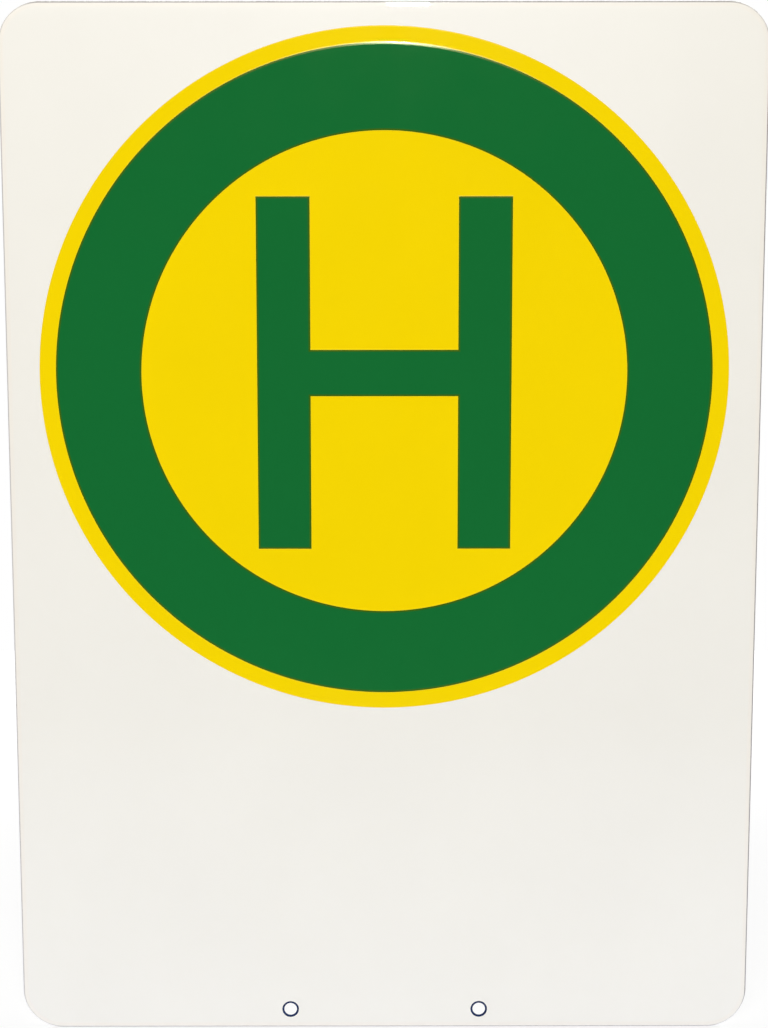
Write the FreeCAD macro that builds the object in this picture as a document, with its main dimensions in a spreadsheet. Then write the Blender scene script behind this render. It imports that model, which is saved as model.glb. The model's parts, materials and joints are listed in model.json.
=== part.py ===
import FreeCAD, Part
import math
import os
from enum import IntEnum

import Sketcher

# Bus stop flag: one coated metal sheet with a round stop symbol on its front and two fixing holes
# near its lower edge. The origin is midway between the two holes, on the back face. X runs to the
# right as seen from the front, Z runs up, and the front faces -Y. Lengths are in millimetres.

# The driving sizes
SIZES = {
    # the yellow disc, and the plain margins of the plate around it
    "disc_diameter": 420.0,
    "side_margin": 20.0,
    "top_margin": 14.0,
    "blank_height": 211.0,
    # the sheet, the low roll of its front rim, and the rounding of its two edges
    "plate_thickness": 3.0,
    "corner_radius": 25.0,
    "rim_width": 6.5,
    "rim_drop": 0.25,
    "front_rounding": 0.8,
    "back_rounding": 0.4,
    # the two fixing holes
    "hole_diameter": 10.0,
    "hole_spacing": 120.0,
    "hole_edge_distance": 12.0,
    "hole_rounding": 0.3,
    # the colour layers, and the sloping shoulder along the edges of the green one
    "yellow_thickness": 0.1,
    "green_thickness": 0.15,
    "shoulder_width": 1.4,
    "shoulder_drop": 0.07,
    # the green ring, inside the yellow edge
    "yellow_edge": 10.0,
    "ring_width": 52.0,
    # the letter, whose corners stand a set gap inside the ring
    "letter_width": 155.0,
    "letter_corner_gap": 14.7,
    "stem_width": 32.5,
    "crossbar_width": 28.5,
    "crossbar_rise": 1.0,
}

# Sizes and places that follow from the driving ones, as expressions over the sheet
DISC_RADIUS = "(Sizes.disc_diameter / 2)"
PLATE_WIDTH = "(Sizes.disc_diameter + 2 * Sizes.side_margin)"
PLATE_HEIGHT = "(Sizes.top_margin + Sizes.disc_diameter + Sizes.blank_height)"
DISC_CENTRE = f"(Sizes.blank_height + {DISC_RADIUS} - Sizes.hole_edge_distance)"
YELLOW_FACE = "(Sizes.plate_thickness + Sizes.yellow_thickness)"
ROLL_RADIUS = "((Sizes.rim_width ^ 2 + Sizes.rim_drop ^ 2) / (2 * Sizes.rim_drop))"
RING_OUTER = f"({DISC_RADIUS} - Sizes.yellow_edge)"
RING_INNER = f"({RING_OUTER} - Sizes.ring_width)"
SHOULDER_FOOT = "(Sizes.green_thickness - Sizes.shoulder_drop)"
LETTER_REACH = f"({RING_INNER} - Sizes.letter_corner_gap)"
LETTER_HEIGHT = f"(2 * sqrt({LETTER_REACH} ^ 2 - (Sizes.letter_width / 2) ^ 2))"
CROSSBAR_DROP = "(Sizes.crossbar_width / 2 - Sizes.crossbar_rise)"



class Spot(IntEnum):
    """A sketch's number for a place on a line, an arc or a circle."""

    START = 1
    END = 2
    CENTRE = 3


class Axis(IntEnum):
    """A sketch's number for each of its own axes. The level one starts at the origin."""

    LEVEL = -1
    UPRIGHT = -2


ORIGIN = (Axis.LEVEL, Spot.START)

# An edge lies in a plane when it is within this distance of it
SAME_PLACE = 1e-4

doc = FreeCAD.newDocument("BusStopFlag")
sheet = doc.addObject("Spreadsheet::Sheet", "Sizes")
for row, (alias, value) in enumerate(SIZES.items(), start=1):
    sheet.set(f"A{row}", alias)
    sheet.set(f"B{row}", str(value))
    sheet.setAlias(f"B{row}", alias)
doc.recompute()


def size_of(expression):
    """The value of an expression over the sheet."""
    return float(sheet.evalExpression(expression.replace("Sizes.", "")))


def add_body(name):
    """A new body, which carries the sub-part's name."""
    body = doc.addObject("PartDesign::Body", name)
    body.Label = name
    return body


def add_sketch(body, name, role):
    """A sketch on one of the body's own origin planes."""
    plane = next(item for item in body.Origin.OriginFeatures if item.Role == role)
    sketch = body.newObject("Sketcher::SketchObject", name)
    sketch.AttachmentSupport = [(plane, "")]
    sketch.MapMode = "FlatFace"
    return sketch


def constrain(sketch, kind, *places):
    """Add a geometric constraint between places in the sketch."""
    sketch.addConstraint(Sketcher.Constraint(kind, *places))


def dimension(sketch, kind, places, expression):
    """Add a dimension between places in the sketch, and bind it to the sheet."""
    index = sketch.addConstraint(Sketcher.Constraint(kind, *places, size_of(expression)))
    sketch.setExpression(f"Constraints[{index}]", expression)


def add_polyline(sketch, points):
    """Level and upright lines through the points, each joined to the next."""
    corners = [FreeCAD.Vector(x, y, 0) for x, y in points]
    lines = []
    for start, end in zip(corners, corners[1:]):
        line = sketch.addGeometry(Part.LineSegment(start, end))
        is_upright = abs(end.x - start.x) < abs(end.y - start.y)
        constrain(sketch, "Vertical" if is_upright else "Horizontal", line)
        if lines:
            constrain(sketch, "Coincident", lines[-1], Spot.END, line, Spot.START)
        lines.append(line)
    return lines


def finish_feature(feature, before=None):
    """Recompute, and stop if the feature failed or a cut removed nothing. Returns the new volume."""
    doc.recompute()
    if feature.Shape.isNull():
        raise RuntimeError(f"{feature.Label} has no shape")
    volume = feature.Shape.Volume
    if before is not None and volume >= before:
        raise RuntimeError(f"{feature.Label} removed nothing")
    return volume


def edges_at_depth(shape, depth):
    """The names of the shape's edges that lie wholly in the plane Y = depth."""
    names = []
    for number, edge in enumerate(shape.Edges, start=1):
        box = edge.BoundBox
        if abs(box.YMin - depth) < SAME_PLACE and abs(box.YMax - depth) < SAME_PLACE:
            names.append(f"Edge{number}")
    return names


def circular_edges(shape, radius):
    """The names of the shape's whole circular edges of this radius."""
    names = []
    for number, edge in enumerate(shape.Edges, start=1):
        is_round = isinstance(edge.Curve, Part.Circle) and edge.isClosed()
        if is_round and abs(edge.Curve.Radius - radius) < SAME_PLACE:
            names.append(f"Edge{number}")
    return names


# The plate: outline, rolled front rim, rounded edges and fixing holes


def draw_plate_outline(sketch):
    """A rectangle with rounded corners, set out from the point midway between the holes."""
    half_width = size_of(PLATE_WIDTH) / 2
    radius = size_of("Sizes.corner_radius")
    low = -size_of("Sizes.hole_edge_distance")
    high = low + size_of(PLATE_HEIGHT)
    inner = half_width - radius

    sides = [
        ((-inner, low), (inner, low)),
        ((half_width, low + radius), (half_width, high - radius)),
        ((inner, high), (-inner, high)),
        ((-half_width, high - radius), (-half_width, low + radius)),
    ]
    centres = [
        (inner, low + radius),
        (inner, high - radius),
        (-inner, high - radius),
        (-inner, low + radius),
    ]
    lines = []
    arcs = []
    for quarter, (ends, centre) in enumerate(zip(sides, centres)):
        start, end = (FreeCAD.Vector(*point, 0) for point in ends)
        lines.append(sketch.addGeometry(Part.LineSegment(start, end)))
        circle = Part.Circle(FreeCAD.Vector(*centre, 0), FreeCAD.Vector(0, 0, 1), radius)
        turn = (quarter - 1) * math.pi / 2
        arcs.append(sketch.addGeometry(Part.ArcOfCircle(circle, turn, turn + math.pi / 2)))

    for quarter in range(4):
        following = lines[(quarter + 1) % 4]
        constrain(sketch, "Tangent", lines[quarter], Spot.END, arcs[quarter], Spot.START)
        constrain(sketch, "Tangent", arcs[quarter], Spot.END, following, Spot.START)
        constrain(sketch, "Vertical" if quarter % 2 else "Horizontal", lines[quarter])
    for arc in arcs[1:]:
        constrain(sketch, "Equal", arcs[0], arc)

    bottom, right, top, left = lines
    dimension(sketch, "Radius", (arcs[0],), "Sizes.corner_radius")
    dimension(sketch, "DistanceX", (*ORIGIN, right, Spot.START), f"{PLATE_WIDTH} / 2")
    dimension(sketch, "DistanceX", (left, Spot.START, *ORIGIN), f"{PLATE_WIDTH} / 2")
    dimension(sketch, "DistanceY", (bottom, Spot.START, *ORIGIN), "Sizes.hole_edge_distance")
    dimension(sketch, "DistanceY", (bottom, Spot.START, top, Spot.START), PLATE_HEIGHT)


def draw_rim_section(sketch):
    """The space in front of the rolled rim, bounded by a long arc that leaves the face flush."""
    face = -size_of("Sizes.plate_thickness")
    edge = -size_of("Sizes.hole_edge_distance")
    width = size_of("Sizes.rim_width")
    drop = size_of("Sizes.rim_drop")
    radius = size_of(ROLL_RADIUS)
    clear = size_of("Sizes.plate_thickness")

    points = [
        (face + drop, edge),
        (face + drop, edge - clear),
        (face - clear, edge - clear),
        (face - clear, edge + width),
        (face, edge + width),
    ]
    lines = add_polyline(sketch, points)
    circle = Part.Circle(FreeCAD.Vector(face + radius, edge + width, 0), FreeCAD.Vector(0, 0, 1), radius)
    arc = sketch.addGeometry(Part.ArcOfCircle(circle, math.pi, math.pi + math.asin(width / radius)))

    inner, _, outer, upper = lines
    constrain(sketch, "Coincident", upper, Spot.END, arc, Spot.START)
    constrain(sketch, "Coincident", arc, Spot.END, inner, Spot.START)
    constrain(sketch, "Horizontal", arc, Spot.CENTRE, arc, Spot.START)
    dimension(sketch, "Radius", (arc,), ROLL_RADIUS)
    dimension(sketch, "DistanceX", (arc, Spot.START, *ORIGIN), "Sizes.plate_thickness")
    dimension(sketch, "DistanceY", (inner, Spot.START, *ORIGIN), "Sizes.hole_edge_distance")
    dimension(sketch, "DistanceY", (inner, Spot.START, arc, Spot.START), "Sizes.rim_width")
    dimension(sketch, "DistanceX", (outer, Spot.END, arc, Spot.START), "Sizes.plate_thickness")
    dimension(sketch, "DistanceY", (inner, Spot.END, inner, Spot.START), "Sizes.plate_thickness")


def draw_hole_circles(sketch):
    """Two equal circles on the level axis, the same distance either side of the origin."""
    offset = size_of("Sizes.hole_spacing") / 2
    radius = size_of("Sizes.hole_diameter") / 2
    circles = []
    for side in (-1, 1):
        centre = FreeCAD.Vector(side * offset, 0, 0)
        circle = sketch.addGeometry(Part.Circle(centre, FreeCAD.Vector(0, 0, 1), radius))
        constrain(sketch, "PointOnObject", circle, Spot.CENTRE, Axis.LEVEL)
        circles.append(circle)
    left, right = circles
    constrain(sketch, "Equal", left, right)
    dimension(sketch, "Diameter", (left,), "Sizes.hole_diameter")
    dimension(sketch, "DistanceX", (left, Spot.CENTRE, *ORIGIN), "Sizes.hole_spacing / 2")
    dimension(sketch, "DistanceX", (*ORIGIN, right, Spot.CENTRE), "Sizes.hole_spacing / 2")


def add_rounding(body, name, rounded, edges, expression, volume):
    """Round the named edges of the last feature by a radius from the sheet."""
    rounding = body.newObject("PartDesign::Fillet", name)
    rounding.Base = (rounded, edges)
    rounding.setExpression("Radius", expression)
    return rounding, finish_feature(rounding, volume)


def add_plate():
    """The coated sheet, back face at Y = 0 and front face towards -Y."""
    body = add_body("sign_plate")

    outline = add_sketch(body, "PlateOutline", "XZ_Plane")
    draw_plate_outline(outline)
    blank = body.newObject("PartDesign::Pad", "Blank")
    blank.Profile = outline
    blank.setExpression("Length", "Sizes.plate_thickness")
    volume = finish_feature(blank)

    section = add_sketch(body, "RimSection", "YZ_Plane")
    draw_rim_section(section)
    rim = body.newObject("PartDesign::SubtractivePipe", "RolledRim")
    rim.Profile = section
    rim.Spine = (outline, [f"Edge{number}" for number in range(1, outline.GeometryCount + 1)])
    volume = finish_feature(rim, volume)

    wall_top = -size_of("Sizes.plate_thickness - Sizes.rim_drop")
    edges = edges_at_depth(rim.Shape, wall_top)
    front, volume = add_rounding(body, "FrontRounding", rim, edges, "Sizes.front_rounding", volume)
    edges = edges_at_depth(front.Shape, 0.0)
    back, volume = add_rounding(body, "BackRounding", front, edges, "Sizes.back_rounding", volume)

    circles = add_sketch(body, "HoleCircles", "XZ_Plane")
    draw_hole_circles(circles)
    holes = body.newObject("PartDesign::Pocket", "FixingHoles")
    holes.Profile = circles
    holes.Type = "ThroughAll"
    holes.Midplane = True
    volume = finish_feature(holes, volume)

    edges = circular_edges(holes.Shape, size_of("Sizes.hole_diameter / 2"))
    add_rounding(body, "HoleRounding", holes, edges, "Sizes.hole_rounding", volume)
    return body


# The colour layers: the disc on the plate, then the ring and the letter on the disc


def seat_layer(body, depth):
    """Put a layer's own origin at the disc's centre, this far in front of the plate's back face."""
    body.setExpression("Placement.Base.y", f"-{depth}")
    body.setExpression("Placement.Base.z", DISC_CENTRE)


def add_yellow_disc():
    """The round yellow field, on the plate's front face."""
    body = add_body("yellow_disc")
    seat_layer(body, "Sizes.plate_thickness")

    outline = add_sketch(body, "DiscOutline", "XZ_Plane")
    circle = Part.Circle(FreeCAD.Vector(), FreeCAD.Vector(0, 0, 1), size_of(DISC_RADIUS))
    edge = outline.addGeometry(circle)
    constrain(outline, "Coincident", edge, Spot.CENTRE, *ORIGIN)
    dimension(outline, "Diameter", (edge,), "Sizes.disc_diameter")

    disc = body.newObject("PartDesign::Pad", "Disc")
    disc.Profile = outline
    disc.setExpression("Length", "Sizes.yellow_thickness")
    finish_feature(disc)
    return body


def draw_ring_section(sketch):
    """The ring's section: a flat top between two sloping shoulders. The sketch's level axis is Y."""
    foot = -size_of(SHOULDER_FOOT)
    top = -size_of("Sizes.green_thickness")
    inner = size_of(RING_INNER)
    outer = size_of(RING_OUTER)
    shoulder = size_of("Sizes.shoulder_width")

    points = [
        (0, inner),
        (foot, inner),
        (top, inner + shoulder),
        (top, outer - shoulder),
        (foot, outer),
        (0, outer),
    ]
    corners = [FreeCAD.Vector(*point, 0) for point in points]
    lines = [
        sketch.addGeometry(Part.LineSegment(start, end))
        for start, end in zip(corners, corners[1:] + corners[:1])
    ]
    inner_wall, inner_slope, flat, outer_slope, outer_wall, seat = lines
    for line, following in zip(lines, lines[1:] + lines[:1]):
        constrain(sketch, "Coincident", line, Spot.END, following, Spot.START)
    for wall in (inner_wall, outer_wall):
        constrain(sketch, "Horizontal", wall)
    for face in (flat, seat):
        constrain(sketch, "Vertical", face)
    constrain(sketch, "PointOnObject", seat, Spot.START, Axis.UPRIGHT)
    constrain(sketch, "Vertical", inner_wall, Spot.END, outer_wall, Spot.START)

    dimension(sketch, "DistanceY", (*ORIGIN, inner_wall, Spot.START), RING_INNER)
    dimension(sketch, "DistanceY", (*ORIGIN, seat, Spot.START), RING_OUTER)
    dimension(sketch, "DistanceX", (outer_wall, Spot.START, *ORIGIN), SHOULDER_FOOT)
    dimension(sketch, "DistanceX", (flat, Spot.START, *ORIGIN), "Sizes.green_thickness")
    dimension(sketch, "DistanceY", (inner_wall, Spot.END, flat, Spot.START), "Sizes.shoulder_width")
    dimension(sketch, "DistanceY", (flat, Spot.END, outer_wall, Spot.START), "Sizes.shoulder_width")


def add_green_ring():
    """The broad ring, on the yellow disc, which shows as a narrow yellow edge around it."""
    body = add_body("green_ring")
    seat_layer(body, YELLOW_FACE)

    section = add_sketch(body, "RingSection", "YZ_Plane")
    draw_ring_section(section)
    ring = body.newObject("PartDesign::Revolution", "Ring")
    ring.Profile = section
    axis = next(item for item in body.Origin.OriginFeatures if item.Role == "Y_Axis")
    ring.ReferenceAxis = (axis, [""])
    finish_feature(ring)
    return body


def draw_letter(sketch):
    """The letter's outline: two upright stems and a crossbar, a little above the middle."""
    side = size_of("Sizes.letter_width") / 2
    end = size_of(LETTER_HEIGHT) / 2
    inside = side - size_of("Sizes.stem_width")
    bar_low = -size_of(CROSSBAR_DROP)
    bar_high = bar_low + size_of("Sizes.crossbar_width")

    points = [
        (-side, -end),
        (-inside, -end),
        (-inside, bar_low),
        (inside, bar_low),
        (inside, -end),
        (side, -end),
        (side, end),
        (inside, end),
        (inside, bar_high),
        (-inside, bar_high),
        (-inside, end),
        (-side, end),
        (-side, -end),
    ]
    lines = add_polyline(sketch, points)
    constrain(sketch, "Coincident", lines[-1], Spot.END, lines[0], Spot.START)

    left_foot, bar_foot, right_foot, right_head, bar_head, left_head = lines[0::2]
    right_side = lines[5]
    for stem_end in (right_foot, right_head, left_head):
        constrain(sketch, "Equal", left_foot, stem_end)
    constrain(sketch, "Symmetric", left_foot, Spot.START, right_foot, Spot.END, Axis.UPRIGHT)
    constrain(sketch, "Horizontal", left_head, Spot.END, right_side, Spot.END)

    dimension(sketch, "DistanceX", (left_foot, Spot.START, right_foot, Spot.END), "Sizes.letter_width")
    dimension(sketch, "DistanceX", (left_foot, Spot.START, left_foot, Spot.END), "Sizes.stem_width")
    dimension(sketch, "DistanceY", (left_foot, Spot.START, left_head, Spot.END), LETTER_HEIGHT)
    dimension(sketch, "DistanceY", (left_foot, Spot.START, *ORIGIN), f"{LETTER_HEIGHT} / 2")
    dimension(sketch, "DistanceY", (bar_foot, Spot.START, bar_head, Spot.END), "Sizes.crossbar_width")
    dimension(sketch, "DistanceY", (bar_foot, Spot.START, *ORIGIN), CROSSBAR_DROP)


def add_letter():
    """The letter, on the yellow disc inside the ring, with the ring's sloping shoulder around it."""
    body = add_body("letter_h")
    seat_layer(body, YELLOW_FACE)

    outline = add_sketch(body, "LetterOutline", "XZ_Plane")
    draw_letter(outline)
    layer = body.newObject("PartDesign::Pad", "Letter")
    layer.Profile = outline
    layer.setExpression("Length", "Sizes.green_thickness")
    volume = finish_feature(layer)

    # the chamfer's first size is measured down the wall, and its second across the face
    edges = edges_at_depth(layer.Shape, -size_of("Sizes.green_thickness"))
    shoulder = body.newObject("PartDesign::Chamfer", "Shoulder")
    shoulder.Base = (layer, edges)
    shoulder.ChamferType = "Two distances"
    shoulder.setExpression("Size", "Sizes.shoulder_drop")
    shoulder.setExpression("Size2", "Sizes.shoulder_width")
    finish_feature(shoulder, volume)
    return body


# The files: one for each sub-part, once every object in the document is sound


def check_document(bodies):
    """Stop if any object has failed, or a sub-part isn't one valid solid."""
    for item in doc.Objects:
        if "Invalid" in item.State or "Error" in item.State:
            raise RuntimeError(f"{item.Label} failed: {item.State}")
        if item.isDerivedFrom("Sketcher::SketchObject") and not item.FullyConstrained:
            raise RuntimeError(f"{item.Label} isn't fully constrained")
    for body in bodies:
        shape = body.Shape
        if shape.isNull() or not shape.isValid() or len(shape.Solids) != 1:
            raise RuntimeError(f"{body.Label} isn't one valid solid")


def export(bodies):
    """Write each sub-part to its own file, named after it."""
    os.makedirs("parts", exist_ok=True)
    for body in bodies:
        body.Shape.exportStep(f"parts/{body.Label}.step")
        print(f"{body.Label}: {body.Shape.Volume:.1f} mm3")


bodies = [add_plate(), add_yellow_disc(), add_green_ring(), add_letter()]
doc.recompute()
check_document(bodies)
export(bodies)
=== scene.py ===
import json
import math
from collections import namedtuple

import bpy
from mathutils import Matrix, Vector
from mathutils.geometry import tessellate_polygon


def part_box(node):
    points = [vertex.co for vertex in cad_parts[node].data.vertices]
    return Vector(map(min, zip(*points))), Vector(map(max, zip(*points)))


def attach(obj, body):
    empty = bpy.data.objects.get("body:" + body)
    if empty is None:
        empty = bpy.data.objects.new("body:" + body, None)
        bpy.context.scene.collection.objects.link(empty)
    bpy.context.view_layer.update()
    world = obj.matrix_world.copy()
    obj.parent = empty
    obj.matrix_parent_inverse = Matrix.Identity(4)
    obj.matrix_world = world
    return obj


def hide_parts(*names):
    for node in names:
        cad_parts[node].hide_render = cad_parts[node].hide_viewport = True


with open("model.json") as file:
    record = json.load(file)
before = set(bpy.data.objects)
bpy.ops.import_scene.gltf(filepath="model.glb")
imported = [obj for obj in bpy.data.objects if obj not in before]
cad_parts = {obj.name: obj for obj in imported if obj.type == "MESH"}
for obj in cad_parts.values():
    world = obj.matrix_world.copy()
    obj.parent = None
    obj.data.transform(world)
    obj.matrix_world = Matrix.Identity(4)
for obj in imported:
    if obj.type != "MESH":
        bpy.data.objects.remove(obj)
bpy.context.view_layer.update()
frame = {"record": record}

# Lengths are in metres, in the CAD frame: X to the right, Z up, and the front facing -Y
MM = 0.001

# Places and sizes that the frame gives

holes = next(m for m in frame["record"]["mounts"] if m["name"] == "lower_holes")
plate_low, plate_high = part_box("sign_plate")
disc_low, disc_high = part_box("yellow_disc")
ring_low, ring_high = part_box("green_ring")
letter_low, letter_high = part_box("letter_h")

PLATE_FRONT = plate_low.y
PLATE_BACK = plate_high.y
DISC_FRONT = disc_low.y
GREEN_FRONT = ring_low.y
DISC_RADIUS = (disc_high.z - disc_low.z) / 2
DISC_CENTRE = (disc_high.z + disc_low.z) / 2
RING_RADIUS = (ring_high.z - ring_low.z) / 2
HOLE_RADIUS = holes["dims"]["hole_r_mm"] * MM
HOLE_OFFSET = holes["dims"]["spacing_x_mm"] / 2 * MM

# Sizes of the details, as in the part's own source

CORNER_RADIUS = 25 * MM
RIM_WIDTH = 6.5 * MM
FRONT_ROUNDING = 0.8 * MM
BACK_ROUNDING = 0.4 * MM
HOLE_ROUNDING = 0.3 * MM
RING_WIDTH = 52 * MM
SHOULDER_WIDTH = 1.4 * MM
SHOULDER_DROP = 0.07 * MM
STEM_WIDTH = 32.5 * MM
CROSSBAR_WIDTH = 28.5 * MM
CROSSBAR_RISE = 1 * MM

# Details that only the scene has: the roll of the rim, a dark lip in each hole that carries painted
# shade, and soft edges

ROLL_WIDTH = 4.6 * MM
RIM_SLOPE = math.radians(2.1)

# A dark lip in each hole, there only to carry painted shade
SHADE_LIP_WIDTH = 1.0 * MM
SHADE_LIP_THICKNESS = 0.3 * MM
YELLOW_ROUNDING = 0.05 * MM
YELLOW_TINT = 0.8 * MM
FOOT_ROUNDING = 0.04 * MM
SHOULDER_BLEND = 0.8 * MM
SKIRT_WIDTH = 0.55 * MM

SHOULDER_SLOPE = math.atan2(SHOULDER_DROP, SHOULDER_WIDTH)
SKIRT_DEPTH = DISC_FRONT - SKIRT_WIDTH * math.tan(SHOULDER_SLOPE)

# How finely the curves are divided

QUARTER = math.pi / 2
CORNER_STEPS = 24
HOLE_STEPS = 64
CIRCLE_STEPS = 432
ROLL_STEPS = 12
ROUNDING_STEPS = 8
BLEND_STEPS = 6

# The camera, fitted to the photograph

PHOTO_HEIGHT = 1028
FOCAL_LENGTH_PIXELS = 2836
SENSOR_MM = 36
CAMERA_SIDE = -3.2 * MM
CAMERA_RISE = 262.8 * MM
CAMERA_DISTANCE = 1709.9 * MM
CAMERA_TURN = (78.450, 0.030, -0.104)
CLIP_START = 10 * MM

# The outline of a flat shape is a ring of stations. Each has a place and a mitre, which leads
# inwards, and the outward normals of the side that arrives at it and of the side that leaves it.
Station = namedtuple("Station", "place mitre arriving leaving")

# The section through an edge is a row of levels. Each has an inset from the outline and a depth (Y),
# and its normals on the side before and the side after, as turns from the front.
Level = namedtuple("Level", "inset depth arriving leaving")


def smooth_station(place, outward):
    """A station where the outline has no corner."""
    return Station(place, -outward, outward, outward)


def circle_outline(x, z, radius, steps, is_hole=False):
    """Stations round a circle. A hole's outward normals lead to its middle."""
    stations = []
    for step in range(steps):
        turn = math.tau * step / steps
        direction = Vector((math.cos(turn), math.sin(turn)))
        place = Vector((x, z)) + direction * radius
        stations.append(smooth_station(place, -direction if is_hole else direction))
    return stations


def rounded_outline(low, high, radius, steps):
    """Stations round a rectangle with rounded corners, seen from the front."""
    left, right = low.x + radius, high.x - radius
    foot, head = low.z + radius, high.z - radius
    centres = [(right, head), (left, head), (left, foot), (right, foot)]
    stations = []
    for quarter, centre in enumerate(centres):
        for step in range(steps + 1):
            turn = (quarter + step / steps) * QUARTER
            direction = Vector((math.cos(turn), math.sin(turn)))
            stations.append(smooth_station(Vector(centre) + direction * radius, direction))
    return stations


def cornered_outline(points):
    """Stations round an outline of level and upright lines, anticlockwise as seen from the front."""
    places = [Vector(point) for point in points]
    following = places[1:] + places[:1]
    outward = []
    for start, end in zip(places, following):
        along = (end - start).normalized()
        outward.append(Vector((along.y, -along.x)))
    before = outward[-1:] + outward[:-1]
    return [
        Station(place, -(arriving + leaving), arriving, leaving)
        for place, arriving, leaving in zip(places, before, outward)
    ]


def arc_levels(inset, depth, radius, start, end, steps):
    """Levels along a rounding about a centre at this inset and depth, turning from start to end."""
    levels = []
    for step in range(steps + 1):
        turn = start + (end - start) * step / steps
        place = (inset - radius * math.sin(turn), depth - radius * math.cos(turn))
        levels.append(Level(*place, turn, turn))
    return levels


def rim_levels():
    """The plate's rolled rim, its front rounding, its wall and its back rounding."""
    roll_radius = ROLL_WIDTH / math.sin(RIM_SLOPE)
    roll_drop = roll_radius * (1 - math.cos(RIM_SLOPE))
    slope_run = RIM_WIDTH - ROLL_WIDTH - FRONT_ROUNDING
    slope_end = PLATE_FRONT + roll_drop + slope_run * math.tan(RIM_SLOPE)
    front_depth = slope_end + FRONT_ROUNDING / math.cos(RIM_SLOPE)
    back_depth = PLATE_BACK - BACK_ROUNDING

    roll = arc_levels(RIM_WIDTH, PLATE_FRONT + roll_radius, roll_radius, 0, RIM_SLOPE, ROLL_STEPS)
    front = arc_levels(FRONT_ROUNDING, front_depth, FRONT_ROUNDING, RIM_SLOPE, QUARTER, ROUNDING_STEPS)
    back = arc_levels(BACK_ROUNDING, back_depth, BACK_ROUNDING, QUARTER, math.pi, ROUNDING_STEPS)
    return roll + front + back


def hole_levels():
    """A fixing hole's front rounding, a thin lip just inside it that holds painted shade, the bore and
    the back rounding.
    """
    front_depth = PLATE_FRONT + HOLE_ROUNDING
    back_depth = PLATE_BACK - HOLE_ROUNDING
    front = arc_levels(HOLE_ROUNDING, front_depth, HOLE_ROUNDING, 0, QUARTER, ROUNDING_STEPS)
    front[-1] = front[-1]._replace(leaving=0)
    shade_lip = [
        Level(-SHADE_LIP_WIDTH, front_depth, 0, QUARTER),
        Level(-SHADE_LIP_WIDTH, front_depth + SHADE_LIP_THICKNESS, QUARTER, math.pi),
        Level(0, front_depth + SHADE_LIP_THICKNESS, math.pi, QUARTER),
    ]
    back = arc_levels(HOLE_ROUNDING, back_depth, HOLE_ROUNDING, QUARTER, math.pi, ROUNDING_STEPS)
    return front + shade_lip + back


def yellow_levels():
    """The yellow layer's front rounding and its short wall, down to the plate."""
    depth = DISC_FRONT + YELLOW_ROUNDING
    front = arc_levels(YELLOW_ROUNDING, depth, YELLOW_ROUNDING, 0, QUARTER, ROUNDING_STEPS)
    tint = [Level(YELLOW_TINT, DISC_FRONT, 0, 0)]
    wall = [Level(0, PLATE_FRONT, QUARTER, math.pi)]
    return tint + front + wall


def green_levels():
    """The green layer's sloping shoulder, which bends off gently from its flat, and its low wall."""
    blend_radius = SHOULDER_BLEND / math.sin(SHOULDER_SLOPE)
    blend_drop = blend_radius * (1 - math.cos(SHOULDER_SLOPE))
    slope_run = SHOULDER_WIDTH - SHOULDER_BLEND - FOOT_ROUNDING
    slope_end = GREEN_FRONT + blend_drop + slope_run * math.tan(SHOULDER_SLOPE)
    head_depth = GREEN_FRONT + blend_radius
    foot_depth = slope_end + FOOT_ROUNDING / math.cos(SHOULDER_SLOPE)

    head = arc_levels(SHOULDER_WIDTH, head_depth, blend_radius, 0, SHOULDER_SLOPE, BLEND_STEPS)
    foot = arc_levels(FOOT_ROUNDING, foot_depth, FOOT_ROUNDING, SHOULDER_SLOPE, QUARTER, ROUNDING_STEPS)
    wall = Level(0, SKIRT_DEPTH, QUARTER, QUARTER)
    return head + foot + [wall]


def skirt_levels():
    """The low skirt of yellow gloss that rises to the green layer's wall, from its outer edge in."""
    edge = Level(-SKIRT_WIDTH, DISC_FRONT, SHOULDER_SLOPE, SHOULDER_SLOPE)
    return [edge, Level(0, SKIRT_DEPTH, SHOULDER_SLOPE, SHOULDER_SLOPE)]


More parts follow.
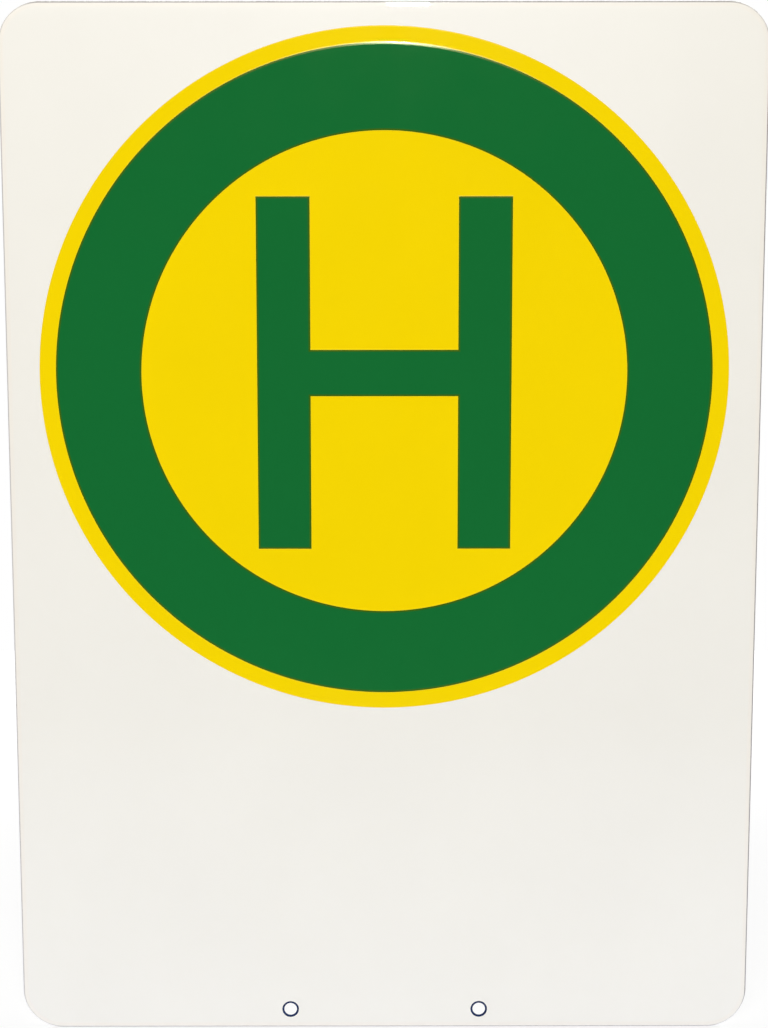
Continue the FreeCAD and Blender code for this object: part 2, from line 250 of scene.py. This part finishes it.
class Shell:
    """A closed skin in the making, with a normal and an edge share at each corner of its faces.

    The edge share is for the materials: 0 where an edge leaves the open face, and 1 at its outline.
    """

    def __init__(self):
        self.points = []
        self.faces = []
        self.normals = []
        self.edge_shares = []
        self.finishes = []

    def add_face(self, corners, normals, shares, finish=0):
        """Add a face, turned so that it faces the way its normals do."""
        a, b, c = (self.points[number] for number in corners[:3])
        if (b - a).cross(c - b).dot(sum(normals, Vector())) < 0:
            corners, normals, shares = corners[::-1], normals[::-1], shares[::-1]
        self.faces.append(corners)
        self.normals.extend(normals)
        self.edge_shares.extend(shares)
        self.finishes.append(finish)

    def add_edge(self, outline, levels, finish=0):
        """Sweep a section round an outline. Returns the points of its first and last level."""
        rows = []
        reach = levels[0].inset
        for level in levels:
            rows.append(range(len(self.points), len(self.points) + len(outline)))
            for station in outline:
                flat = station.place + station.mitre * level.inset
                self.points.append(Vector((flat.x, level.depth, flat.y)))
        for number, station in enumerate(outline):
            following = (number + 1) % len(outline)
            side, next_side = station.leaving, outline[following].arriving
            for row, next_row, level, next_level in zip(rows, rows[1:], levels, levels[1:]):
                corners = [row[number], row[following], next_row[following], next_row[number]]
                normals = [
                    swept_normal(side, level.leaving),
                    swept_normal(next_side, level.leaving),
                    swept_normal(next_side, next_level.arriving),
                    swept_normal(side, next_level.arriving),
                ]
                share, next_share = (1 - end.inset / reach for end in (level, next_level))
                self.add_face(corners, normals, [share, share, next_share, next_share], finish)
        return list(rows[0]), list(rows[-1])

    def add_cap(self, loops, normal):
        """Fill the flat space inside the first loop of points and outside the others."""
        numbers = [number for loop in loops for number in loop]
        outlines = [[self.points[number] for number in loop] for loop in loops]
        for triangle in tessellate_polygon(outlines):
            self.add_face([numbers[corner] for corner in triangle], [normal] * 3, [0.0] * 3)

    def make_piece(self, name, node, slot, *materials):
        """Make the piece that stands for a CAD node, and hide that node. The slot is not used."""
        mesh = bpy.data.meshes.new(name)
        mesh.from_pydata(self.points, [], self.faces)
        shares = mesh.attributes.new("edge_share", "FLOAT", "CORNER")
        shares.data.foreach_set("value", self.edge_shares)
        for material in materials:
            mesh.materials.append(material)
        mesh.polygons.foreach_set("material_index", self.finishes)
        mesh.polygons.foreach_set("use_smooth", [True] * len(self.faces))
        mesh.normals_split_custom_set(self.normals)
        piece = bpy.data.objects.new(name, mesh)
        bpy.context.scene.collection.objects.link(piece)
        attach(piece, "root")
        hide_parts(node)


def swept_normal(outward, turn):
    """The normal of a swept edge, which turns from the front towards the outline's outward normal."""
    side = outward * math.sin(turn)
    return Vector((side.x, -math.cos(turn), side.y))


FRONT = Vector((0, -1, 0))
BACK = Vector((0, 1, 0))


def build_plate(coat, hole_shade):
    """The coated sheet with its rolled rim, and two fixing holes whose bores and lips are dark navy
    painted shade.
    """
    shell = Shell()
    outline = rounded_outline(plate_low, plate_high, CORNER_RADIUS, CORNER_STEPS)
    edges = [shell.add_edge(outline, rim_levels())]
    for x in (-HOLE_OFFSET, HOLE_OFFSET):
        outline = circle_outline(x, 0, HOLE_RADIUS, HOLE_STEPS, is_hole=True)
        edges.append(shell.add_edge(outline, hole_levels(), finish=1))
    fronts, backs = zip(*edges)
    shell.add_cap(fronts, FRONT)
    shell.add_cap(backs, BACK)
    shell.make_piece("plate_coat", "sign_plate", "white_coat", coat, hole_shade)


def build_disc(material):
    """The round yellow field."""
    shell = Shell()
    outline = circle_outline(0, DISC_CENTRE, DISC_RADIUS, CIRCLE_STEPS)
    front, back = shell.add_edge(outline, yellow_levels())
    shell.add_cap([front], FRONT)
    shell.add_cap([back], BACK)
    shell.make_piece("yellow_field", "yellow_disc", "yellow_layer", material)


def add_layer(shell, outlines):
    """A green layer inside the first outline and outside the others, with its skirts."""
    fronts = [shell.add_edge(outline, green_levels())[0] for outline in outlines]
    backs = [shell.add_edge(outline, skirt_levels(), finish=1)[0] for outline in outlines]
    shell.add_cap(fronts, FRONT)
    shell.add_cap(backs, BACK)


def build_ring(green, yellow):
    """The broad green ring, with a sloping shoulder along both of its edges."""
    shell = Shell()
    outer = circle_outline(0, DISC_CENTRE, RING_RADIUS, CIRCLE_STEPS)
    inner = circle_outline(0, DISC_CENTRE, RING_RADIUS - RING_WIDTH, CIRCLE_STEPS, is_hole=True)
    add_layer(shell, [outer, inner])
    shell.make_piece("green_band", "green_ring", "green_layer", green, yellow)


def letter_points():
    """The letter's corners, anticlockwise from its lower left one, seen from the front."""
    left, right = letter_low.x, letter_high.x
    foot, head = letter_low.z, letter_high.z
    middle = (foot + head) / 2 + CROSSBAR_RISE
    bar_low, bar_high = middle - CROSSBAR_WIDTH / 2, middle + CROSSBAR_WIDTH / 2
    inner_left, inner_right = left + STEM_WIDTH, right - STEM_WIDTH
    return [
        (left, foot),
        (inner_left, foot),
        (inner_left, bar_low),
        (inner_right, bar_low),
        (inner_right, foot),
        (right, foot),
        (right, head),
        (inner_right, head),
        (inner_right, bar_high),
        (inner_left, bar_high),
        (inner_left, head),
        (left, head),
    ]


def build_letter(green, yellow):
    """The letter, with sharp corners and the same shoulder as the ring."""
    shell = Shell()
    add_layer(shell, [cornered_outline(letter_points())])
    shell.make_piece("green_letter", "letter_h", "green_layer", green, yellow)


class Graph:
    """A material's or the world's nodes."""

    def __init__(self, owner):
        owner.use_nodes = True
        self.tree = owner.node_tree
        self.tree.nodes.clear()

    def add(self, kind, inputs=None, **settings):
        """Add a node with these settings. Each input is a value, or another node's output."""
        node = self.tree.nodes.new(kind)
        for name, value in settings.items():
            setattr(node, name, value)
        for name, value in (inputs or {}).items():
            self.feed(node.inputs[name], value)
        return node

    def feed(self, socket, value):
        """Give a socket a value, or another node's output."""
        if isinstance(value, bpy.types.NodeSocket):
            self.tree.links.new(value, socket)
        else:
            socket.default_value = value

    def math(self, operation, *values, clamp=False):
        """The output of an operation on values or outputs."""
        node = self.add("ShaderNodeMath", dict(enumerate(values)), operation=operation, use_clamp=clamp)
        return node.outputs[0]

    def spread(self, value, low, high, to_low, to_high, smooth=False):
        """The output of a value carried from one range to another, and held at its ends."""
        inputs = {"Value": value, "From Min": low, "From Max": high}
        inputs.update({"To Min": to_low, "To Max": to_high})
        style = "SMOOTHSTEP" if smooth else "LINEAR"
        return self.add("ShaderNodeMapRange", inputs, interpolation_type=style).outputs[0]

    def blend(self, share, first, second, style="MIX"):
        """The output of a mix of two colours."""
        node = self.add("ShaderNodeMix", data_type="RGBA", blend_type=style)
        for number, value in ((0, share), (6, first), (7, second)):
            self.feed(node.inputs[number], value)
        return node.outputs[2]

    def shade(self, colour, level):
        """The output of a colour times a level."""
        grey = self.add("ShaderNodeCombineColor", {0: level, 1: level, 2: level}).outputs[0]
        return self.blend(1.0, colour, grey, "MULTIPLY")

    def place(self):
        """The output of the place on the object, in metres."""
        return self.add("ShaderNodeTexCoord").outputs["Object"]

    def noise(self, scale, detail):
        """The output of a noise, from 0 to 1, with this many cells to the metre."""
        inputs = {"Vector": self.place(), "Scale": scale, "Detail": detail}
        return self.add("ShaderNodeTexNoise", inputs).outputs["Fac"]

    def bump(self, height, depth, **below):
        """The output of a normal bent by a height that runs over this depth, on top of one below."""
        inputs = {"Strength": 1.0, "Distance": depth, "Height": height, **below}
        return self.add("ShaderNodeBump", inputs).outputs[0]

    def attribute(self, name):
        """The output of one of a piece's own shares."""
        return self.add("ShaderNodeAttribute", attribute_name=name).outputs["Fac"]


# The coats. Each colour is followed by those it takes towards its edge.

WHITE = (1, 1, 1, 1)
BLACK = (0, 0, 0, 1)
CREAM_WHITE = (0.90, 0.875, 0.801, 1)
# Painted warm reflection on the rolled rim
RIM_REFLECTION_WHITE = (0.90, 0.856, 0.772, 1)
# Painted shade along the outer edge rounding: darkest along the top and the right, paler round the
# corners
EDGE_SHADE_WHITE = (0.58, 0.55, 0.53, 1)
TOP_RIGHT_SHADE_WHITE = (0.38, 0.35, 0.335, 1)
CORNER_SHADE_WHITE = (0.80, 0.765, 0.70, 1)
YELLOW = (0.935, 0.680, 0.0, 1)
OCHRE = (0.88, 0.64, 0.02, 1)
GREEN = (0.0068, 0.148, 0.031, 1)
OLIVE = (0.040, 0.125, 0.004, 1)
HIGHLIGHT_TINT = (0.92, 1.0, 0.55, 1)
# Painted shade: the dark ring seen in each hole
HOLE_SHADE_NAVY = (0.012, 0.028, 0.100, 1)

# How the coats vary over the sign. A noise stays mostly within the first of these ranges.

NOISE_RANGE = (0.3, 0.7)
MOTTLING_SCALE = 9
MOTTLING_SHADES = (0.975, 1.0)
SMEAR_SCALE = 35
SMEAR_SHARES = (0.85, 1.2)
WAVE_SCALE = 22
WAVE_HEIGHT = 0.02 * MM
PEEL_SCALE = 420
PEEL_HEIGHT = 0.003 * MM

# The gloss that the coats share, with a broad faint bloom about its highlights

SPECULAR = 0.4
BLOOM_ROUGHNESS = 0.34

# Each coat's gloss and edge. A range goes from the edge share where a change starts to where it ends.

WHITE_ROUGHNESS = 0.01
WHITE_BLOOM = 0.7
# Where the painted warm reflection lies on the rolled rim
RIM_REFLECTION_RANGE = (0.4, 0.65)
# Where the painted shade lies along the outer edge, and how much duller the coat is there
EDGE_SHADE_RANGE = (0.86, 0.90)
EDGE_SHADE_ROUGHNESS = 0.6

YELLOW_ROUGHNESS = 0.07
OCHRE_RANGE = (0.3, 1.0)
YELLOW_DULL_RANGE = (0.0, 0.2)
YELLOW_DULL_ROUGHNESS = 0.08

GREEN_ROUGHNESS = 0.08
OLIVE_RANGE = (0.0, 0.4)
GREEN_DULL_RANGE = (0.05, 0.3)
GREEN_DULL_ROUGHNESS = 0.07

# The grain and gloss of the dark navy in the holes, which is painted shade

BORE_GRAIN_SCALE = 900
BORE_GRAIN_HEIGHT = 0.02 * MM
BORE_SHADES = (0.6, 1.2)
BORE_ROUGHNESSES = (0.6, 0.8)
BORE_SPECULAR = 0.1


def start_coat(name, colour, roughness):
    """A gloss coat's graph, and the outputs of its mottled colour, roughness and orange peel."""
    material = bpy.data.materials.new(name)
    graph = Graph(material)
    mottling = graph.spread(graph.noise(MOTTLING_SCALE, detail=4), *NOISE_RANGE, *MOTTLING_SHADES)
    colour = graph.shade(colour, mottling)
    roughnesses = [roughness * share for share in SMEAR_SHARES]
    roughness = graph.spread(graph.noise(SMEAR_SCALE, detail=3), *NOISE_RANGE, *roughnesses)
    normal = graph.bump(graph.noise(WAVE_SCALE, detail=1), WAVE_HEIGHT)
    normal = graph.bump(graph.noise(PEEL_SCALE, detail=2), PEEL_HEIGHT, Normal=normal)
    return material, graph, colour, roughness, normal


def finish_coat(graph, colour, roughness, normal, specular=SPECULAR, bloom=0.0, tint=WHITE):
    """Join a coat's outputs in its shader. The bloom is how much of the coat has one."""
    inputs = {"Base Color": colour, "Roughness": roughness, "Normal": normal}
    shader = graph.add("ShaderNodeBsdfPrincipled", inputs)
    shader.inputs["Specular IOR Level"].default_value = specular
    shader.inputs["Specular Tint"].default_value = tint
    shader.inputs["Coat Weight"].default_value = bloom
    shader.inputs["Coat Roughness"].default_value = BLOOM_ROUGHNESS
    graph.add("ShaderNodeOutputMaterial", {"Surface": shader.outputs[0]})


def painted_edge_shade(graph):
    """The output of the dark colour along the plate's outer edge rounding: a little of it the thinner
    coat there, most of it painted shade.

    It is darkest along the top and the right, and pale round the corners, which is painted shade too.
    """
    across, _, up = graph.add("ShaderNodeSeparateXYZ", {0: graph.place()}).outputs
    right = graph.spread(across, plate_high.x - CORNER_RADIUS, plate_high.x, 0.0, 1.0)
    top = graph.spread(up, plate_high.z - CORNER_RADIUS, plate_high.z, 0.0, 1.0)
    top_right_shade = graph.blend(graph.math("MAXIMUM", right, top), EDGE_SHADE_WHITE, TOP_RIGHT_SHADE_WHITE)

    middle = (plate_low.z + plate_high.z) / 2
    height = graph.math("SUBTRACT", up, middle)
    corner = []
    for value, reach in ((across, plate_high.x), (height, plate_high.z - middle)):
        limits = (reach - CORNER_RADIUS, reach - CORNER_RADIUS / 2)
        corner.append(graph.spread(graph.math("ABSOLUTE", value), *limits, 0.0, 1.0))
    return graph.blend(graph.math("MINIMUM", *corner), top_right_shade, CORNER_SHADE_WHITE)


def white_coat():
    """Gloss cream-white, with a painted warm reflection on the rolled rim, and painted shade along the
    outer edge rounding, where the coat is also thinner and duller.
    """
    material, graph, colour, roughness, normal = start_coat("white_coat", CREAM_WHITE, WHITE_ROUGHNESS)
    edge = graph.attribute("edge_share")
    # Painted warm reflection on the rolled rim
    colour = graph.blend(graph.spread(edge, *RIM_REFLECTION_RANGE, 0.0, 1.0, smooth=True), colour, RIM_REFLECTION_WHITE)
    # Painted shade along the outer edge rounding, where the coat is also made duller
    edge_shade = graph.spread(edge, *EDGE_SHADE_RANGE, 0.0, 1.0, smooth=True)
    colour = graph.blend(edge_shade, colour, painted_edge_shade(graph))
    roughness = graph.math("ADD", roughness, graph.math("MULTIPLY", edge_shade, EDGE_SHADE_ROUGHNESS))
    finish_coat(graph, colour, roughness, normal, bloom=WHITE_BLOOM)
    return material


def painted_hole_shade():
    """Dull dark navy on the bores and lips of the holes: painted shade for the dark ring seen in them.
    """
    material = bpy.data.materials.new("painted_hole_shade")
    graph = Graph(material)
    grain = graph.noise(BORE_GRAIN_SCALE, detail=3)
    colour = graph.shade(HOLE_SHADE_NAVY, graph.spread(grain, *NOISE_RANGE, *BORE_SHADES))
    roughness = graph.spread(grain, *NOISE_RANGE, *BORE_ROUGHNESSES)
    normal = graph.bump(grain, BORE_GRAIN_HEIGHT)
    finish_coat(graph, colour, roughness, normal, specular=BORE_SPECULAR)
    return material


def yellow_layer():
    """Gloss yellow, with a slight ochre tint where it runs out on the white."""
    material, graph, colour, roughness, normal = start_coat("yellow_layer", YELLOW, YELLOW_ROUGHNESS)
    edge = graph.attribute("edge_share")
    colour = graph.blend(graph.spread(edge, *OCHRE_RANGE, 0.0, 1.0, smooth=True), colour, OCHRE)
    dullness = graph.spread(edge, *YELLOW_DULL_RANGE, 0.0, YELLOW_DULL_ROUGHNESS)
    finish_coat(graph, colour, graph.math("ADD", roughness, dullness), normal)
    return material


def green_layer():
    """Gloss green, with a duller olive line where it runs out on the yellow."""
    material, graph, colour, roughness, normal = start_coat("green_layer", GREEN, GREEN_ROUGHNESS)
    edge = graph.attribute("edge_share")
    colour = graph.blend(graph.spread(edge, *OLIVE_RANGE, 0.0, 1.0, smooth=True), colour, OLIVE)
    dullness = graph.spread(edge, *GREEN_DULL_RANGE, 0.0, GREEN_DULL_ROUGHNESS)
    finish_coat(graph, colour, graph.math("ADD", roughness, dullness), normal, tint=HIGHLIGHT_TINT)
    return material


# The studio: the camera, the floor, the lights and the room


def add_object(name, data):
    """A new object in the scene."""
    made = bpy.data.objects.new(name, data)
    bpy.context.scene.collection.objects.link(made)
    return made


def add_camera():
    """The camera at the photograph's viewpoint, above the sign's middle and looking down at it."""
    data = bpy.data.cameras.new("camera")
    data.sensor_fit = "AUTO"
    data.sensor_width = SENSOR_MM
    data.lens = FOCAL_LENGTH_PIXELS * SENSOR_MM / PHOTO_HEIGHT
    data.clip_start = CLIP_START
    camera = add_object("camera", data)
    camera.location = (CAMERA_SIDE, PLATE_FRONT - CAMERA_DISTANCE, DISC_CENTRE + CAMERA_RISE)
    camera.rotation_euler = [math.radians(turn) for turn in CAMERA_TURN]
    bpy.context.scene.camera = camera


# The floor, in metres from its middle. Its whiteness is for the camera, and its dimness for gloss.

PALE_GREY = (0.82, 0.82, 0.82, 1)
PALE_BLUE = (0.72, 0.78, 0.98, 1)
FLOOR_RADIUS = 0.85
FLOOR_BACK = 0.2
FLOOR_STEPS = 96
FLOOR_GLOW = 1.15
WHITENESS_START = 0.2
WHITENESSES = (0.64, 1.0)
DIMNESS_START = -0.45
FRONT_DIMNESS = 0.5


def floor_material():
    """Pale matt that sends a slightly blue light up. The camera sees it grey, and whiter further out.

    Gloss sees it get dimmer towards its front edge, so that no edge shows in the sign's coat.
    """
    material = bpy.data.materials.new("pale_floor")
    graph = Graph(material)
    rays = graph.add("ShaderNodeLightPath").outputs
    place = graph.place()
    colour = graph.blend(rays["Is Camera Ray"], PALE_BLUE, PALE_GREY)
    depth = graph.add("ShaderNodeSeparateXYZ", {0: place}).outputs["Y"]
    dimness = graph.spread(depth, -FLOOR_RADIUS, DIMNESS_START, FRONT_DIMNESS, 0.0)
    colour = graph.blend(graph.math("MULTIPLY", rays["Is Glossy Ray"], dimness), colour, BLACK)
    matt = graph.add("ShaderNodeBsdfDiffuse", {"Color": colour}).outputs[0]

    white = graph.add("ShaderNodeEmission", {"Color": WHITE, "Strength": FLOOR_GLOW}).outputs[0]
    distance = graph.add("ShaderNodeVectorMath", {0: place}, operation="LENGTH").outputs["Value"]
    whiteness = graph.spread(distance, WHITENESS_START, FLOOR_RADIUS, *WHITENESSES, smooth=True)
    share = graph.math("MULTIPLY", rays["Is Camera Ray"], whiteness)
    surface = graph.add("ShaderNodeMixShader", {0: share, 1: matt, 2: white}).outputs[0]
    graph.add("ShaderNodeOutputMaterial", {"Surface": surface})
    return material


def add_floor():
    """A round pale floor that the sign stands on."""
    turns = [math.tau * step / FLOOR_STEPS for step in range(FLOOR_STEPS)]
    points = [(FLOOR_RADIUS * math.cos(turn), FLOOR_RADIUS * math.sin(turn), 0) for turn in turns]
    mesh = bpy.data.meshes.new("floor")
    mesh.from_pydata(points, [], [list(range(FLOOR_STEPS))])
    mesh.materials.append(floor_material())
    floor = add_object("floor", mesh)
    floor.location = (0, FLOOR_BACK, plate_low.z)


def add_lamp(name, place, target, size, power, colour):
    """A flat lamp that faces a target."""
    data = bpy.data.lights.new(name, "AREA")
    data.shape = "RECTANGLE"
    data.size, data.size_y = size
    data.energy = power
    data.color = colour
    lamp = add_object(name, data)
    lamp.location = place
    lamp.rotation_euler = (Vector(target) - Vector(place)).to_track_quat("-Z", "Y").to_euler()


# The lamps' places and sizes in metres, and their powers in watts

AIM_DROP = 100 * MM
KEY_PLACE = (-0.4, -4.0, 1.6)
KEY_SIZE = (2.2, 1.2)
KEY_POWER = 118
KEY_COLOUR = (1.0, 0.985, 0.95)
LENS_LAMP_SIDE = 33 * MM
LENS_LAMP_RISE = 305 * MM
LENS_LAMP_SIZE = (46 * MM, 34 * MM)
LENS_LAMP_POWER = 2.4
BACK_PLACE = (0.4, 3.2, 1.4)
BACK_SIZE = (2.0, 1.6)
BACK_POWER = 75
WHITE_LIGHT = (1, 1, 1)


def add_lights():
    """A broad soft key from above the camera, a small lamp by its lens, and a soft lamp behind."""
    middle = (0, 0, DISC_CENTRE - AIM_DROP)
    top = (0, 0, plate_high.z)
    lens = (LENS_LAMP_SIDE, PLATE_FRONT - CAMERA_DISTANCE, DISC_CENTRE + LENS_LAMP_RISE)
    add_lamp("key", KEY_PLACE, middle, KEY_SIZE, KEY_POWER, KEY_COLOUR)
    add_lamp("lens_lamp", lens, top, LENS_LAMP_SIZE, LENS_LAMP_POWER, WHITE_LIGHT)
    add_lamp("back_soft", BACK_PLACE, middle, BACK_SIZE, BACK_POWER, WHITE_LIGHT)


# How bright the room is. A heading is the Y or Z share of the direction in which a ray leaves.

FILL = 0.30
DIM_ROOM = 0.03
LOW_ROOM = 0.38
BEHIND_HEADINGS = (0.0, 0.25)
LOW_HEADINGS = (-0.285, -0.263)


def add_world():
    """A soft even fill, with a white background that the camera sees, and gloss sees behind the sign.

    In front of the sign, gloss sees a dim room that gets pale towards the floor.
    """
    world = bpy.data.worlds.new("studio")
    bpy.context.scene.world = world
    graph = Graph(world)
    rays = graph.add("ShaderNodeLightPath").outputs
    direction = graph.add("ShaderNodeTexCoord").outputs["Generated"]
    _, depth, rise = graph.add("ShaderNodeSeparateXYZ", {0: direction}).outputs
    behind = graph.spread(depth, *BEHIND_HEADINGS, 0.0, 1.0, smooth=True)
    front = graph.spread(rise, *LOW_HEADINGS, LOW_ROOM, DIM_ROOM, smooth=True)
    clear = graph.math("ADD", rays["Is Glossy Ray"], rays["Is Transmission Ray"], clamp=True)
    seen = graph.math("ADD", rays["Is Camera Ray"], graph.math("MULTIPLY", clear, behind), clamp=True)
    room = graph.spread(clear, 0.0, 1.0, FILL, front)
    level = graph.spread(seen, 0.0, 1.0, room, 1.0)
    shade = graph.add("ShaderNodeBackground", {"Color": WHITE, "Strength": level}).outputs[0]
    graph.add("ShaderNodeOutputWorld", {"Surface": shade})


def build_object():
    """The four pieces of the sign."""
    green, yellow = green_layer(), yellow_layer()
    build_plate(white_coat(), painted_hole_shade())
    build_disc(yellow)
    build_ring(green, yellow)
    build_letter(green, yellow)


build_object()
add_camera()
add_floor()
add_lights()
add_world()
bpy.context.scene.view_settings.view_transform = "Standard"
